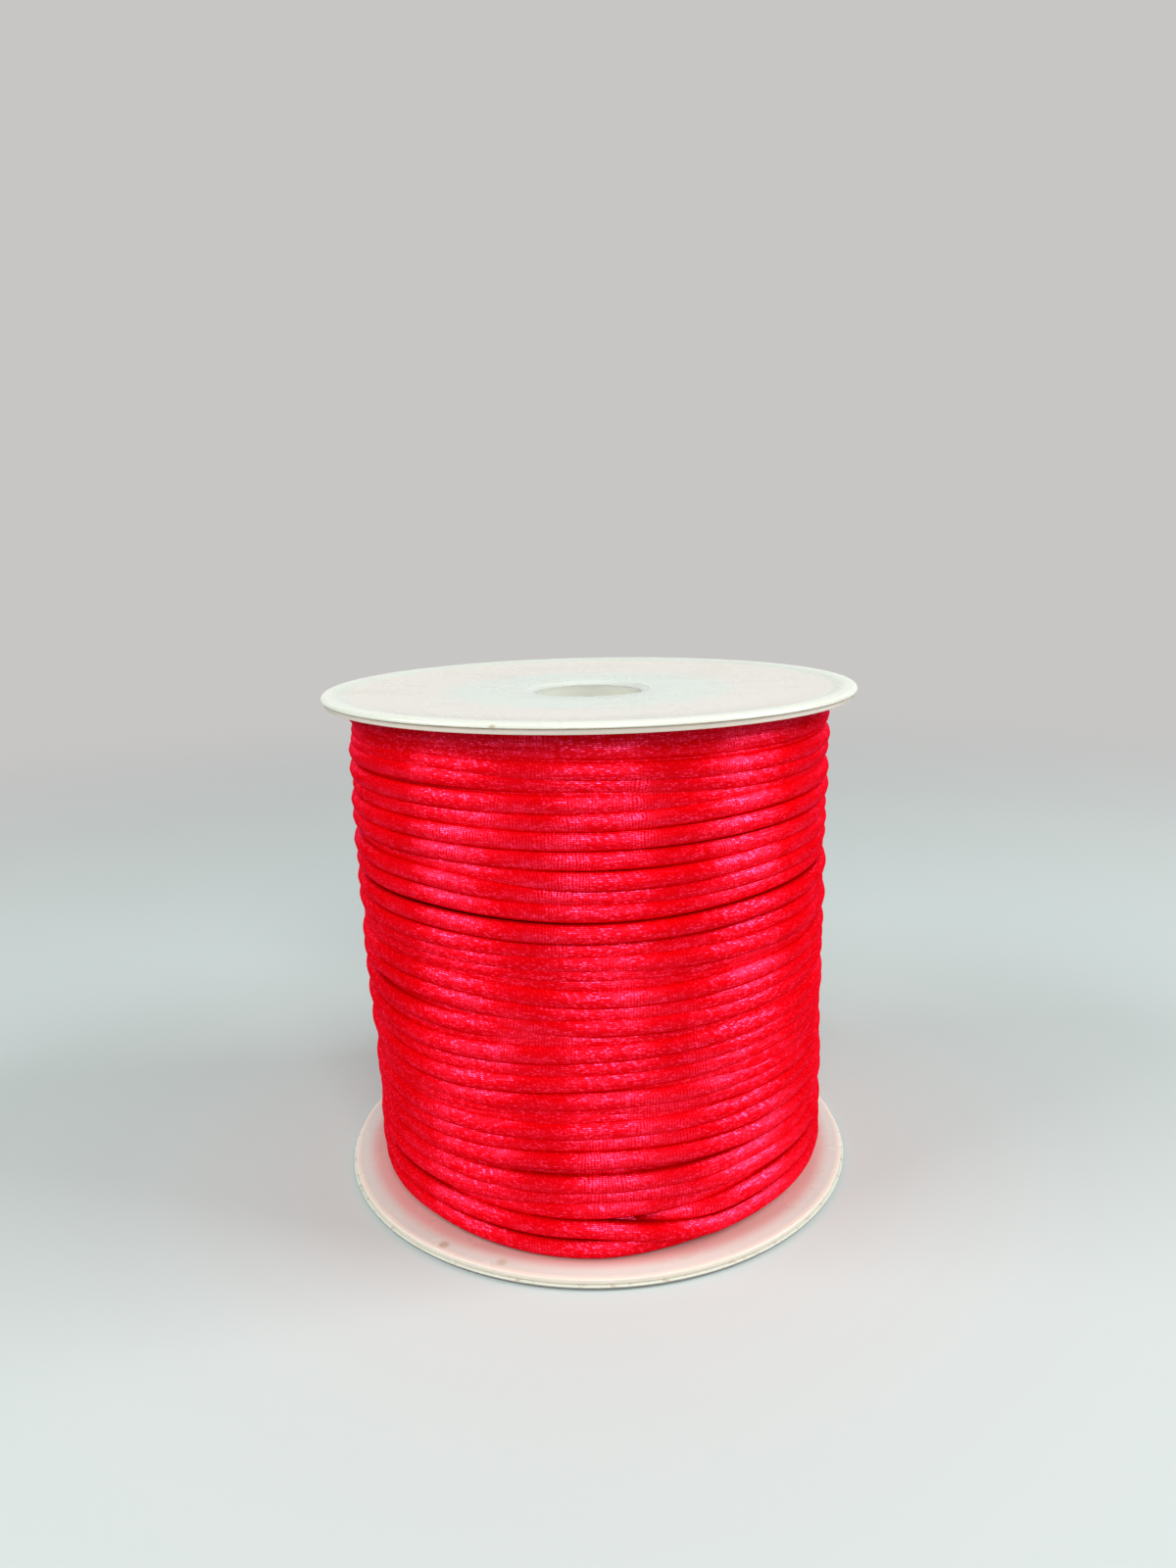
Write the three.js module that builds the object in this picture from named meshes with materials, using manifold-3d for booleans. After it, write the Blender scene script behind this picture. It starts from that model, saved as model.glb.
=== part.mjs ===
// Spool of rattail cord: two moulded flanges on a hub, wound full of 2 mm satin cord.
// Millimetres, +Z up. The spool stands on its bottom flange, with the origin at the middle of its base.

import * as THREE from 'three';
import { mergeVertices } from 'three/addons/utils/BufferGeometryUtils.js';
import Module from 'manifold-3d';

const wasm = await Module();
wasm.setup();

// Driving dimensions
const FLANGE_RADIUS = 30;
const SPOOL_HEIGHT = 56.7;
const FLANGE_HEIGHT = 1.1;
const FACE_RECESS = 0.25;
const BEAD_WIDTH = 1.35;
const BORE_RADIUS = 6.1;
const MOUTH_RADIUS = 6.5;
const BARREL_RADIUS = 15;
const BARREL_WALL = 1.6;
const BORE_TUBE_WALL = 1.5;
const HUB_WEB = 1.4;
const GAP = 0.3;
const CORD_DIAMETER = 2;

// Facets
const FLANGE_SEGMENTS = 64;
const HUB_SEGMENTS = 48;
const STEPS_PER_TURN = 36;

// Heights that follow from these
const FLOOR_OF_WINDING = FLANGE_HEIGHT + GAP;
const TOP_OF_WINDING = SPOOL_HEIGHT - FLANGE_HEIGHT - GAP;

// The winding's outer form: its radius at four sides, a row for each height.
// Left is -X, front is -Y, right is +X and back is +Y.
const FORM = [
  { height: 0, left: 26.0, front: 27.1, right: 26.9, back: 26.8 },
  { height: 14, left: 26.3, front: 27.1, right: 26.9, back: 26.7 },
  { height: 28, left: 27.0, front: 27.1, right: 26.9, back: 26.9 },
  { height: 42, left: 27.4, front: 27.1, right: 27.1, back: 27.1 },
  { height: 57, left: 27.2, front: 27.1, right: 27.1, back: 27.0 },
];

// The grooves between the turns, a row for each turn from the bottom up: the groove's height
// at 45 degrees to the left of the front, at the front, and at 45 degrees to the right.
const GROOVES = [
  { left: 1.5, front: 1.1, right: 1.4 },
  { left: 3.8, front: 3.2, right: 4.4 },
  { left: 5.8, front: 5.7, right: 6.5 },
  { left: 6.5, front: 7.3, right: 7.2 },
  { left: 8.2, front: 8.6, right: 9.1 },
  { left: 9.6, front: 10.4, right: 10.3 },
  { left: 10.4, front: 11.1, right: 10.9 },
  { left: 12.0, front: 13.2, right: 12.9 },
  { left: 13.8, front: 14.7, right: 14.9 },
  { left: 15.4, front: 16.2, right: 16.4 },
  { left: 16.2, front: 17.1, right: 16.9 },
  { left: 17.0, front: 17.9, right: 18.0 },
  { left: 17.8, front: 19.3, right: 19.2 },
  { left: 18.4, front: 19.9, right: 20.4 },
  { left: 20.2, front: 21.3, right: 21.8 },
  { left: 21.7, front: 22.8, right: 23.4 },
  { left: 23.6, front: 24.4, right: 24.8 },
  { left: 24.7, front: 25.2, right: 25.3 },
  { left: 26.2, front: 25.7, right: 25.8 },
  { left: 27.0, front: 27.0, right: 27.1 },
  { left: 29.1, front: 28.4, right: 28.8 },
  { left: 30.7, front: 30.1, right: 30.6 },
  { left: 31.3, front: 31.2, right: 31.2 },
  { left: 32.1, front: 32.2, right: 31.9 },
  { left: 33.2, front: 33.4, right: 33.6 },
  { left: 34.9, front: 34.6, right: 35.1 },
  { left: 37.4, front: 37.1, right: 37.8 },
  { left: 39.4, front: 38.7, right: 39.2 },
  { left: 41.4, front: 40.1, right: 40.8 },
  { left: 42.4, front: 42.1, right: 42.5 },
  { left: 44.1, front: 44.0, right: 44.2 },
  { left: 46.1, front: 45.9, right: 46.6 },
  { left: 47.7, front: 47.7, right: 48.2 },
  { left: 49.3, front: 49.2, right: 48.8 },
  { left: 50.0, front: 49.9, right: 49.2 },
  { left: 51.4, front: 50.9, right: 50.4 },
  { left: 52.5, front: 52.3, right: 52.0 },
  { left: 53.3, front: 53.0, right: 52.8 },
  { left: 54.2, front: 54.1, right: 54.1 },
  { left: 55.6, front: 55.5, right: 55.5 },
];

// A narrow turn is one that lies deeper, squeezed between its neighbours.
const SINK_PER_LOST_WIDTH = 0.55;
const GROOVE_DEPTH = 0.6;
const SHOULDER = 0.27;

const MILKY_PLASTIC = { color: 0xe9ebe4, roughness: 0.28, metalness: 0 };
const SATIN_CORD = { color: 0xe60a2e, roughness: 0.42, metalness: 0 };

function finish(name, geometry, material) {
  geometry.computeVertexNormals();
  const mesh = new THREE.Mesh(geometry, new THREE.MeshStandardMaterial({ ...material, flatShading: true }));
  mesh.name = name;
  return mesh;
}

// Turns a closed outline of [radius, height] corners about Z. The corners run anticlockwise,
// seen with the radius to the right and the height up.
function turned(outline, segments) {
  const profile = [...outline, outline[0]].map(([radius, height]) => new THREE.Vector2(radius, height));
  const geometry = new THREE.LatheGeometry(profile, segments);
  geometry.rotateX(Math.PI / 2);
  return geometry;
}

// A round corner of a turned outline, from one angle to another, in degrees.
function arc(radius, height, size, from, to, steps) {
  const corners = [];
  for (let step = 0; step <= steps; step++) {
    const angle = THREE.MathUtils.degToRad(THREE.MathUtils.lerp(from, to, step / steps));
    corners.push([radius + size * Math.cos(angle), height + size * Math.sin(angle)]);
  }
  return corners;
}

// The top flange in section: a flat underside, a thin lower band, the rim bead with a flat crest,
// and a face that dips a little inside the bead and bevels into the hole.
function flangeOutline() {
  const bandHeight = 0.6;
  const bandInset = 0.3;
  const beadRound = 0.45;
  const beadSlope = 1.2;
  const face = FLANGE_HEIGHT - FACE_RECESS;
  const bevel = 0.35;
  return [
    [BORE_RADIUS, 0],
    [FLANGE_RADIUS - bandInset - 0.15, 0],
    [FLANGE_RADIUS - bandInset, 0.15],
    [FLANGE_RADIUS - bandInset, bandHeight],
    ...arc(FLANGE_RADIUS - beadRound, FLANGE_HEIGHT - beadRound, beadRound, 0, 90, 3),
    [FLANGE_RADIUS - BEAD_WIDTH, FLANGE_HEIGHT],
    [FLANGE_RADIUS - BEAD_WIDTH - beadSlope, face],
    [MOUTH_RADIUS, face],
    [BORE_RADIUS, face - bevel],
  ];
}

function flange(name) {
  return finish(name, turned(flangeOutline(), FLANGE_SEGMENTS), MILKY_PLASTIC);
}

// The hub in section: a bore tube and a barrel, joined halfway up by a flat web.
function hub() {
  const low = FLOOR_OF_WINDING;
  const high = TOP_OF_WINDING;
  const middle = SPOOL_HEIGHT / 2;
  const tube = BORE_RADIUS + BORE_TUBE_WALL;
  const barrel = BARREL_RADIUS - BARREL_WALL;
  const outline = [
    [BORE_RADIUS, low],
    [tube, low],
    [tube, middle - HUB_WEB / 2],
    [barrel, middle - HUB_WEB / 2],
    [barrel, low],
    [BARREL_RADIUS, low],
    [BARREL_RADIUS, high],
    [barrel, high],
    [barrel, middle + HUB_WEB / 2],
    [tube, middle + HUB_WEB / 2],
    [tube, high],
    [BORE_RADIUS, high],
  ];
  return finish('hub', turned(outline, HUB_SEGMENTS), MILKY_PLASTIC);
}

// The winding's outer radius at a height, and at an angle in turns from the front towards the right.
function formRadius(height, turn) {
  let row = 0;
  while (row < FORM.length - 2 && height > FORM[row + 1].height) row++;
  const [low, high] = [FORM[row], FORM[row + 1]];
  const share = THREE.MathUtils.clamp((height - low.height) / (high.height - low.height), 0, 1);
  const at = (side) => THREE.MathUtils.lerp(low[side], high[side], share);
  const sideways = Math.sin(2 * Math.PI * turn);
  const forwards = Math.cos(2 * Math.PI * turn);
  const across = sideways > 0 ? at('right') : at('left');
  const along = forwards > 0 ? at('front') : at('back');
  return across * sideways ** 2 + along * forwards ** 2;
}

// All groove heights as one rising line: three stations for each turn, the front at a whole turn.
function grooveStations() {
  const stations = [];
  GROOVES.forEach((groove, turn) => {
    stations.push({ turn: turn - 0.125, height: groove.left });
    stations.push({ turn, height: groove.front });
    stations.push({ turn: turn + 0.125, height: groove.right });
  });
  return stations;
}

const STATIONS = grooveStations();

function slopeAt(index) {
  const before = STATIONS[Math.max(index - 1, 0)];
  const after = STATIONS[Math.min(index + 1, STATIONS.length - 1)];
  return (after.height - before.height) / (after.turn - before.turn);
}

// The groove's height after a number of turns, as a smooth curve through the stations. Past either
// end of the table it keeps on by one cord diameter a turn.
function grooveHeight(turn) {
  const first = STATIONS[0];
  const last = STATIONS[STATIONS.length - 1];
  if (turn <= first.turn) return first.height + (turn - first.turn) * CORD_DIAMETER;
  if (turn >= last.turn) return last.height + (turn - last.turn) * CORD_DIAMETER;
  let index = 0;
  while (turn > STATIONS[index + 1].turn) index++;
  const [from, to] = [STATIONS[index], STATIONS[index + 1]];
  const span = to.turn - from.turn;
  const t = (turn - from.turn) / span;
  const rise = slopeAt(index) * span;
  const fall = slopeAt(index + 1) * span;
  const bend = from.height - to.height;
  return from.height + rise * t + (-3 * bend - 2 * rise - fall) * t ** 2 + (2 * bend + rise + fall) * t ** 3;
}

// One section of the winding's skin between two grooves: the groove and the turn's two shoulders.
function turnSection(turn) {
  const low = grooveHeight(turn);
  const width = Math.max(grooveHeight(turn + 1) - low, 0.1);
  const sink = SINK_PER_LOST_WIDTH * Math.max(CORD_DIAMETER - width, 0);
  const radius = formRadius(low + width / 2, turn);
  return [
    { height: low, radius: radius - GROOVE_DEPTH - sink / 2 },
    { height: low + width * SHOULDER, radius: radius - sink },
    { height: low + width * (1 - SHOULDER), radius: radius - sink },
  ];
}

// The ridged skin is one long spiral strip, closed to the axis above and below the spool's room.
function spiralBody() {
  const firstTurn = -2;
  const turns = GROOVES.length + 3;
  const rows = 3;
  const steps = turns * STEPS_PER_TURN;
  const vertices = [];
  for (let step = 0; step <= steps; step++) {
    const turn = firstTurn + step / STEPS_PER_TURN;
    const angle = 2 * Math.PI * turn;
    for (const { height, radius } of turnSection(turn)) {
      vertices.push(radius * Math.sin(angle), -radius * Math.cos(angle), height);
    }
  }
  const corner = (step, row) => (step + STEPS_PER_TURN * Math.floor(row / rows)) * rows + (row % rows);
  const triangles = [];
  for (let step = 0; step < steps - STEPS_PER_TURN; step++) {
    for (let row = 0; row < rows; row++) {
      const [a, b] = [corner(step, row), corner(step + 1, row)];
      const [c, d] = [corner(step + 1, row + 1), corner(step, row + 1)];
      triangles.push(a, b, c, a, c, d);
    }
  }
  const start = [];
  for (let row = rows; row > 0; row--) start.push(corner(0, row));
  for (let step = 0; step < STEPS_PER_TURN; step++) start.push(corner(step, 0));
  const end = [];
  const top = steps - STEPS_PER_TURN;
  for (let row = 0; row < rows; row++) end.push(corner(top, row));
  for (let step = STEPS_PER_TURN; step > 0; step--) end.push(corner(top - STEPS_PER_TURN + step, rows));
  closeToAxis(vertices, triangles, start, grooveHeight(firstTurn) - CORD_DIAMETER);
  closeToAxis(vertices, triangles, end, grooveHeight(firstTurn + turns) + CORD_DIAMETER);
  return new wasm.Manifold(
    new wasm.Mesh({
      numProp: 3,
      vertProperties: new Float32Array(vertices),
      triVerts: new Uint32Array(triangles),
    }),
  );
}

// Fans a ring of corners to a point on the axis.
function closeToAxis(vertices, triangles, ring, height) {
  const tip = vertices.length / 3;
  vertices.push(0, 0, height);
  ring.forEach((corner, index) => {
    triangles.push(tip, ring[(index + 1) % ring.length], corner);
  });
}

function toSolid(geometry) {
  geometry.deleteAttribute('normal');
  geometry.deleteAttribute('uv');
  const merged = mergeVertices(geometry);
  return new wasm.Manifold(
    new wasm.Mesh({
      numProp: 3,
      vertProperties: new Float32Array(merged.attributes.position.array),
      triVerts: new Uint32Array(merged.index.array),
    }),
  );
}

function toGeometry(solid) {
  const { vertProperties, triVerts } = solid.getMesh();
  const geometry = new THREE.BufferGeometry();
  geometry.setAttribute('position', new THREE.BufferAttribute(vertProperties, 3));
  geometry.setIndex(new THREE.BufferAttribute(triVerts, 1));
  return geometry;
}

// The room between the flanges and round the hub, which trims the spiral to the spool.
function windingRoom() {
  const inner = BARREL_RADIUS + GAP;
  const outer = FLANGE_RADIUS;
  const outline = [
    [inner, FLOOR_OF_WINDING],
    [outer, FLOOR_OF_WINDING],
    [outer, TOP_OF_WINDING],
    [inner, TOP_OF_WINDING],
  ];
  return toSolid(turned(outline, HUB_SEGMENTS));
}

function cordWinding() {
  return finish('cord_winding', toGeometry(spiralBody().intersect(windingRoom())), SATIN_CORD);
}

const group = new THREE.Group();

const topFlange = flange('flange_top');
topFlange.position.z = SPOOL_HEIGHT - FLANGE_HEIGHT;

const bottomFlange = flange('flange_bottom');
bottomFlange.rotation.x = Math.PI;
bottomFlange.position.z = FLANGE_HEIGHT;

group.add(topFlange, bottomFlange, hub(), cordWinding());

export default group;
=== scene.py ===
# %% [markdown]
# # A spool of rattail cord
#
# The real object is a small moulded spool, 60 mm across its flanges, wound full of 2 mm satin cord.
# The CAD part already holds its sizes: two flanges, a hub and one solid of the wound form. This lesson
# gives it its looks: every turn of the cord as a tube of its own, flanges with their fine edges, a satin
# and a milky plastic made from nodes, and a plain studio. Each piece goes where the CAD says, so the
# frame is loaded first, and the boxes of its parts give the sizes.

# %% Load the frame
import math

import bpy
from mathutils import Matrix, Vector, noise


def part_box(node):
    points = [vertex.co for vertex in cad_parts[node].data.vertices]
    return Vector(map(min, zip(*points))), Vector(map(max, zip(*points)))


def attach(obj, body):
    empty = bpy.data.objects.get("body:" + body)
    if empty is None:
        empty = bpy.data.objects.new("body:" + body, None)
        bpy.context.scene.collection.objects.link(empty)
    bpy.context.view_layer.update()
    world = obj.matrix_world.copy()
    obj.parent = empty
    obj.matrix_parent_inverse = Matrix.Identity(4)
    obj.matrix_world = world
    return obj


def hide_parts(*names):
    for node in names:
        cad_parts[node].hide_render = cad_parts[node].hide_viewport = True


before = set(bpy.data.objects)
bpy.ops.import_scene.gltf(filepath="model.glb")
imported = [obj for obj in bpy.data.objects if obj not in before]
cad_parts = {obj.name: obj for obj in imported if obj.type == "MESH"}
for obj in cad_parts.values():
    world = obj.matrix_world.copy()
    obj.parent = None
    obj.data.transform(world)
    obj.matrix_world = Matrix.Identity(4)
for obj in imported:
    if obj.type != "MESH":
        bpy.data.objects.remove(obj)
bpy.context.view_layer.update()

MM = 0.001

# %% [markdown]
# ## The camera
#
# A picture of a round thing gives its camera away, because each rim is a circle of known size that
# shows as an ellipse. Both flange rims were used to find where the camera stood, how far it looked
# down and how long its lens was. A camera can be placed by three turns about fixed axes, but a matrix
# made of a turn, a tilt and a roll is easier to read, and is used here.

# %% Camera
CAMERA_PLACE = Vector((0, -123.8 * MM, 71.45 * MM))
CAMERA_TURN = 0.147
CAMERA_DOWN = 12.149
CAMERA_ROLL = -1.235
CAMERA_LENS = 24.83


def degrees_about(axis, angle):
    return Matrix.Rotation(math.radians(angle), 4, axis)


def place_camera():
    camera = bpy.data.objects.new("camera", bpy.data.cameras.new("camera"))
    bpy.context.scene.collection.objects.link(camera)
    camera.data.lens = CAMERA_LENS
    camera.data.clip_start = 5 * MM
    turn = degrees_about("Z", CAMERA_TURN)
    tilt = degrees_about("X", 90 - CAMERA_DOWN)
    roll = degrees_about("Z", CAMERA_ROLL)
    camera.matrix_world = Matrix.Translation(CAMERA_PLACE) @ turn @ tilt @ roll
    bpy.context.scene.camera = camera
    return camera


camera = place_camera()
view = camera.matrix_world.to_3x3() @ Vector((0, 0, -1))
print("camera looks along", [round(x, 3) for x in view])

# %% [markdown]
# ## Sizes
#
# The flanges, the hub and the room between the flanges are read from the frame, so that nothing here
# can drift from the CAD. The bore's radius, the mouth that its bevel opens to and the cord's radius
# are the sizes that the boxes don't say.

# %% Sizes from the frame
LOW, HIGH = 0, 1
top_flange_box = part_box("flange_top")
bottom_flange_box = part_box("flange_bottom")
hub_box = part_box("hub")

FLANGE_RADIUS = top_flange_box[HIGH].y / MM
SPOOL_HEIGHT = top_flange_box[HIGH].z / MM
FLANGE_HEIGHT = (top_flange_box[HIGH].z - top_flange_box[LOW].z) / MM
ROOM_LOW = bottom_flange_box[HIGH].z / MM
ROOM_HIGH = top_flange_box[LOW].z / MM
BARREL_RADIUS = hub_box[HIGH].y / MM
BORE_RADIUS = 6.1
MOUTH_RADIUS = 7.0
CORD_RADIUS = 1.0
print(f"flanges {2 * FLANGE_RADIUS:.1f} mm across")
print(f"room for the cord from {ROOM_LOW:.1f} to {ROOM_HIGH:.1f} mm")

# %% [markdown]
# ## One way to write node trees
#
# Materials and Geometry Nodes are both trees of nodes. Written out by hand they are long, so a small
# class holds one socket and lets Python's own signs join it to others: `1 - mask` adds a Math node.
# Every other node comes from one method, which takes its type, its settings and its inputs.

# %% Sockets that can be added up
class Wire:
    """One output socket of a node tree."""

    def __init__(self, graph, socket):
        self.graph = graph
        self.socket = socket

    def math(self, operation, *others):
        values = dict(enumerate((self, *others)))
        return self.graph.node("ShaderNodeMath", {"operation": operation}, values)

    def __add__(self, other):
        return self.math("ADD", other)

    def __radd__(self, other):
        return self.math("ADD", other)

    def __mul__(self, other):
        return self.math("MULTIPLY", other)

    def __rmul__(self, other):
        return self.math("MULTIPLY", other)

    def __sub__(self, other):
        return self.math("SUBTRACT", other)

    def __rsub__(self, other):
        return self.graph.node("ShaderNodeMath", {"operation": "SUBTRACT"}, {0: other, 1: self})

    def __truediv__(self, other):
        return self.math("DIVIDE", other)

    def __pow__(self, other):
        return self.math("POWER", other)

    def floor(self):
        return self.math("FLOOR")

    def fraction(self):
        return self.math("FRACT")

    def hump(self):
        """0 at each whole number and 1 halfway between two."""
        return (self.fraction() * math.pi).math("SINE")

    def step(self, low, high):
        """0 below low, 1 above high, and smooth between."""
        ranges = {"Value": self, "From Min": low, "From Max": high}
        return self.graph.node("ShaderNodeMapRange", {"interpolation_type": "SMOOTHSTEP"}, ranges)


# A Mix node shows other sockets for each kind of data. These are the ones for colours.
MIX_FIRST, MIX_SECOND, MIX_COLOUR = 6, 7, 2


class Graph:
    """A node tree that is filled by calls."""

    def __init__(self, tree):
        self.tree = tree

    def add(self, kind, settings=None, inputs=None):
        node = self.tree.nodes.new(kind)
        for name, value in (settings or {}).items():
            setattr(node, name, value)
        for key, value in (inputs or {}).items():
            if isinstance(value, Wire):
                self.tree.links.new(value.socket, node.inputs[key])
            else:
                node.inputs[key].default_value = value
        return node

    def node(self, kind, settings=None, inputs=None, output=0):
        return Wire(self, self.add(kind, settings, inputs).outputs[output])

    def blend(self, share, first, second):
        """A colour between two, by a share from 0 to 1."""
        colours = {"Factor": share, MIX_FIRST: first, MIX_SECOND: second}
        return self.node("ShaderNodeMix", {"data_type": "RGBA"}, colours, output=MIX_COLOUR)


class Finish(Graph):
    """A material's tree, with a few words that both finishes use."""

    def __init__(self, name):
        self.material = bpy.data.materials.new(name)
        self.material.use_nodes = True
        super().__init__(self.material.node_tree)
        self.tree.nodes.clear()

    def place(self):
        return self.node("ShaderNodeTexCoord", output="Object")

    def cloud(self, size, detail=2.0, stretch=(1, 1, 1), seed=0.0):
        """Soft noise with blotches about as large as size, in metres."""
        stretched = self.node("ShaderNodeMapping", inputs={"Vector": self.place(), "Scale": stretch})
        sizes = {"Vector": stretched, "W": seed, "Scale": 1 / size, "Detail": detail}
        return self.node("ShaderNodeTexNoise", {"noise_dimensions": "4D"}, sizes)

    def finish(self, shader):
        self.add("ShaderNodeOutputMaterial", inputs={"Surface": shader})
        print(f"material {self.material.name}: {len(self.tree.nodes)} nodes")
        return self.material


# %% [markdown]
# ## Satin for the cord
#
# Rattail is a soft core in a tube of bright satin threads. Close up, the threads lie along the cord in
# short floats, and the floats' ends line up into fine ribs across it. An image could show that, but a
# rule can too: each float is a hump in a grid that runs along and around the cord, so it follows every
# turn. Some floats stand proud and glint, so a second, pinker shine is added there, weighted by the
# float's hump and by chance. Threads that lie one way draw a shine out into a band across them, so
# both shines are anisotropic. The red is painted lighter on the crests of the floats and ribs, a
# painted highlight on the weave, and the sides of the cord, where it meets the next turn, are painted a
# deeper red, a painted shade in the grooves.

# %% Satin material
RIB_PITCH = 0.31 * MM
FLOAT_LENGTH = 0.45 * MM
THREAD_ROWS = 36
ROW_SHIFT = 7
RIB_DRIFT = 3
FLOAT_DRIFT = 2
SATIN_DEEP = (0.62, 0.0, 0.001, 1)
SATIN_BRIGHT = (0.96, 0.0, 0.003, 1)
# Painted shade for the grooves between the turns.
SATIN_GROOVE_SHADE = (0.34, 0.0, 0.0, 1)
THREAD_PINK = (1.0, 0.11, 0.36, 1)
# How much each thing adds to the pink shine, to the brighter red and to the height of the bump.
GLINT = {"everywhere": 0.02, "floats": 0.55, "ribs": 0.13}
BRIGHTEN = {"floats": 0.15, "ribs": 0.08, "blotches": 0.7}
RELIEF = {"threads": 0.25, "ribs": 0.02, "ribbed spots": 0.08, "floats": 0.1}
# Shares of the way round the cord, measured from its top line, over which the grooves' painted shade
# comes in.
GROOVE_SHADE_SIDES = (0.13, 0.27)


def satin():
    finish = Finish("satin_cord")
    along = finish.node("ShaderNodeAttribute", {"attribute_name": "along"}, output="Fac")
    around = finish.node("ShaderNodeAttribute", {"attribute_name": "around"}, output="Fac")
    off_top = (around - 0.5).math("ABSOLUTE")
    around = around * THREAD_ROWS
    row = around.floor()
    row_chance = finish.node("ShaderNodeTexWhiteNoise", {"noise_dimensions": "1D"}, {"W": row})
    drift = finish.cloud(2.5 * MM, detail=1)
    ribs = (along / RIB_PITCH + drift * RIB_DRIFT).hump()
    floats = along / FLOAT_LENGTH + row_chance * ROW_SHIFT + drift * FLOAT_DRIFT
    cell = finish.node("ShaderNodeCombineXYZ", inputs={"X": floats.floor(), "Y": row})
    chance = finish.node("ShaderNodeTexWhiteNoise", {"noise_dimensions": "2D"}, {"Vector": cell})
    thread = around.hump()
    float_shape = floats.hump() * thread
    ribbed = finish.cloud(6 * MM, seed=2.0).step(0.45, 0.65)
    proud_floats = float_shape * chance**3 * GLINT["floats"]
    glint = GLINT["everywhere"] + proud_floats + ribs.step(0.4, 1.0) * ribbed * GLINT["ribs"]
    blotches = finish.cloud(9 * MM) * BRIGHTEN["blotches"]
    # The crests of the floats and ribs are painted a lighter red, a painted highlight on the weave's
    # pattern; the blotches are random tone.
    brighter = float_shape * BRIGHTEN["floats"] + ribs * BRIGHTEN["ribs"] + blotches
    red = finish.blend(brighter, SATIN_DEEP, SATIN_BRIGHT)
    # Painted shade: the sides of the cord, where it meets the next turn, are painted a deeper red.
    red = finish.blend(off_top.step(*GROOVE_SHADE_SIDES), red, SATIN_GROOVE_SHADE)
    rib_height = ribs * (RELIEF["ribs"] + ribbed * RELIEF["ribbed spots"])
    bump = finish.node("ShaderNodeBump", inputs={
        "Strength": 1.0,
        "Distance": 0.05 * MM,
        "Height": thread * RELIEF["threads"] + rib_height + float_shape * chance * RELIEF["floats"],
    })
    cord = finish.node("ShaderNodeBsdfPrincipled", inputs={
        "Base Color": red,
        "Roughness": 0.38 + chance * 0.14,
        "Metallic": 0.3,
        "Anisotropic": 0.92,
        "Anisotropic Rotation": 0.25,
        "Specular IOR Level": 0.0,
        "Specular Tint": THREAD_PINK,
        "Normal": bump,
    })
    threads = finish.node("ShaderNodeBsdfAnisotropic", {"distribution": "BECKMANN"}, {
        "Color": THREAD_PINK,
        "Roughness": 0.31,
        "Anisotropy": 0.62,
        "Normal": bump,
    })
    both = finish.node("ShaderNodeAddShader", inputs={0: cord, 1: threads})
    surface = finish.node("ShaderNodeMixShader", inputs={0: glint, 1: cord, 2: both})
    return finish.finish(surface)


SATIN = satin()

# %% [markdown]
# ## Milky plastic for the spool
#
# The flanges are thin moulded plastic that lets some light in, so they look milky: a greener white over
# the hub, and over the cord a warmer white, painted light of the cord's red showing through. Where a
# flange lies next to the cord it is painted pink, a painted reflection of the cord, and its inner faces
# are painted darker as shade. The bead, the bevel and the bore get tones of their own for how the lamps
# light them, painted light and shade; the band under the bead is painted warmer, a painted reflection
# of the cord, and the bottom flange's foot has a painted contact shadow. A single white would look like
# paper. The colour goes by the distance from the axis and by the height, soft noise adds the smears and
# rubbed spots of a spool that has been handled, and dirt has settled in the parting line and in a few
# spots near the rims.

# %% Plastic material
PLASTIC_WHITE = (0.58, 0.64, 0.565, 1)
# Painted light: the cord's red showing through the plastic.
PLASTIC_CORD_SHOWING_THROUGH = (0.655, 0.605, 0.54, 1)
PLASTIC_RUBBED = (0.53, 0.50, 0.43, 1)
# Painted light and shade: the bead's own tone of the plastic.
PLASTIC_RIM_LIT = (0.66, 0.69, 0.60, 1)
# Painted reflection of the cord in the band under the bead.
PLASTIC_BAND_REFLECTION = (0.68, 0.62, 0.54, 1)
# Painted reflection of the red cord.
PLASTIC_CORD_REFLECTION = (0.60, 0.32, 0.30, 1)
# Painted shade for the inner faces.
PLASTIC_INSIDE_SHADE = (0.58, 0.565, 0.52, 1)
# Painted light and shade for the hole's bevel and its shaded bore.
PLASTIC_BEVEL_LIT = (0.62, 0.64, 0.58, 1)
PLASTIC_BORE_SHADE = (0.62, 0.63, 0.55, 1)
SPECK_BROWN = (0.34, 0.22, 0.10, 1)
# Painted contact shadow at the foot.
CONTACT_SHADOW_GREY = (0.17, 0.155, 0.14, 1)
HUB_EDGE = 15
CORD_EDGE = 27.5
# Where one colour gives way to the next: distances from the axis in mm.
RIM_STARTS = (28.0, 29.3)
BAND_STARTS = (29.1, 29.4)
PARTING_STARTS = (29.3, 29.6)
CONTACT_SHADOW_STARTS = (29.2, 29.6)
CORD_REFLECTION_ENDS = (28.6, 26.8)
BEVEL_ENDS = (7.3, 6.9)
BORE_ENDS = (6.5, 6.2)
# Heights in mm over a flange's inner face, or over the floor for the painted contact shadow at the foot.
INNER_FACE_ENDS = (0.03, 0.15)
RIM_RISES = (0.15, 0.3)
BAND_ENDS = (0.5, 0.62)
PARTING_LOW = (0.48, 0.58)
PARTING_HIGH = (0.62, 0.74)
CONTACT_SHADOW_ENDS = (0.30, 0.50)
HALF_ROOM = (ROOM_HIGH - ROOM_LOW) / 2
# How far each colour covers the one beneath it, from 0 to 1.
COVER = {"over cord": 0.8, "smears": 0.2, "scuffs": 0.2, "contact_shadow": 0.9}
SPECKS = {"all along": 0.12, "dirt": 0.5}
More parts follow.
